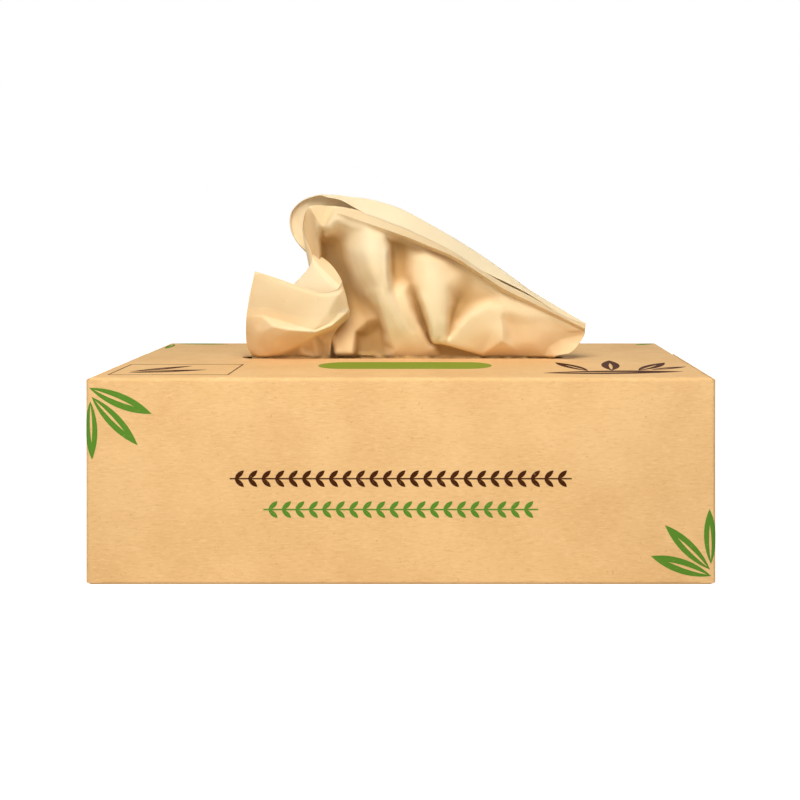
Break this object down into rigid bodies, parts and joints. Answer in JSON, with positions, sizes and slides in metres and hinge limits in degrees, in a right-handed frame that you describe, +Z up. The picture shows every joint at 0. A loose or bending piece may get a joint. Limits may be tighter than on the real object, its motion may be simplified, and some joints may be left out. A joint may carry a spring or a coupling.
{
  "type": "facial tissue box",
  "caption": "Flat kraft-board tissue box with a torn slot in its top and one soft tissue drawn up through it in loose folds.",
  "frame": {"origin": "middle of the carton's underside", "axes": "+X to the right along the long side, +Y from the printed front to the back, +Z up"},
  "size_m": [0.225, 0.115, 0.141],
  "materials": {
    "kraft_board": "matt uncoated kraft board",
    "tissue_pile": "soft matt unbleached tissue",
    "tissue_sheet": "soft matt unbleached tissue",
    "leaf_ink": "matt leaf green ink",
    "label_ink": "matt pale green ink",
    "brown_ink": "matt dark brown ink"
  },
  "bodies": {
    "root": {"carton": "kraft_board", "tissue_stack": "tissue_pile", "pulled_tissue": "tissue_sheet", "leaf_print": "leaf_ink", "label_print": "label_ink", "brown_print": "brown_ink"}
  },
  "joints": []
}
